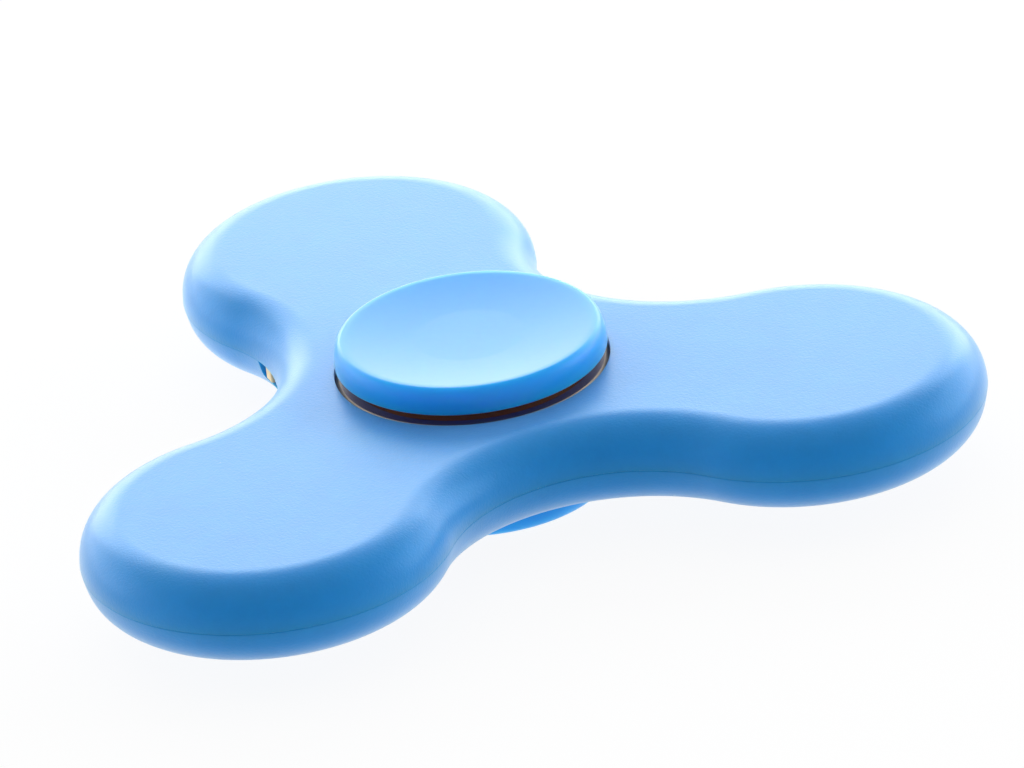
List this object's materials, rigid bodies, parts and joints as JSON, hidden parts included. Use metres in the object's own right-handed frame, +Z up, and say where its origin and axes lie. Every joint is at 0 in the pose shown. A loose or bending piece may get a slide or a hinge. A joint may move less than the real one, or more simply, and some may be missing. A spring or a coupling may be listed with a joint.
{
  "type": "fidget spinner",
  "caption": "Three-armed light-up fidget spinner: a moulded two-shell body that spins on a shielded ball bearing between dished finger caps, with a side slide switch.",
  "frame": {"origin": "point of the spin axis on the plane that the lower finger cap's rim stands on", "axes": "+Z up along the spin axis, +X along the first arm, arms every 120 degrees, switch slot in the waist on the -X side"},
  "size_m": [0.0685, 0.0746, 0.0132],
  "materials": {
    "shell_abs": "blue ABS moulded with a fine satin texture",
    "cap_abs": "blue ABS, smoother and glossier than the shells",
    "bearing_steel": "ground bearing steel",
    "shield_steel": "pressed sheet steel",
    "ball_steel": "polished steel",
    "cage_nylon": "natural nylon",
    "board_laminate": "green solder mask on laminate",
    "cell_steel": "nickel-plated can",
    "clip_steel": "tin-plated spring sheet",
    "led_resin": "white moulding with a clear yellow window",
    "resistor_ceramic": "black ceramic with tinned ends",
    "switch_plastic": "black moulding",
    "knob_plastic": "cream moulding"
  },
  "bodies": {
    "hub": {"upper_finger_cap": "cap_abs", "lower_finger_cap": "cap_abs", "bearing_inner_ring": "bearing_steel"},
    "rotor": {"upper_shell": "shell_abs", "lower_shell": "shell_abs", "bearing_outer_ring": "bearing_steel", "upper_bearing_shield": "shield_steel", "lower_bearing_shield": "shield_steel", "circuit_board": "board_laminate", "coin_cell_1": "cell_steel", "coin_cell_2": "cell_steel", "coin_cell_3": "cell_steel", "cell_clip_1": "clip_steel", "cell_clip_2": "clip_steel", "cell_clip_3": "clip_steel", "led_1": "led_resin", "led_2": "led_resin", "led_3": "led_resin", "resistor_1": "resistor_ceramic", "resistor_2": "resistor_ceramic", "resistor_3": "resistor_ceramic", "switch_base": "switch_plastic", "switch_cover": "clip_steel", "switch_terminals": "clip_steel"},
    "ball_set": {"ball_cage": "cage_nylon", "bearing_balls": "ball_steel"},
    "switch_slider": {"switch_knob": "knob_plastic"}
  },
  "joints": [
    {"name": "rotor_spin", "type": "hinge", "parent": "hub", "child": "rotor", "pos_m": [0, 0, 0.0066], "axis": [0, 0, 1], "continuous": true},
    {"name": "ball_set_spin", "type": "hinge", "parent": "hub", "child": "ball_set", "pos_m": [0, 0, 0.0066], "axis": [0, 0, 1], "continuous": true},
    {"name": "switch_slide", "type": "slide", "parent": "rotor", "child": "switch_slider", "axis": [0.5, -0.866, 0], "range_m": [0, 0.002]}
  ],
  "couplings": [
    {"joint": "ball_set_spin", "follows": "rotor_spin", "ratio": 0.6323}
  ]
}
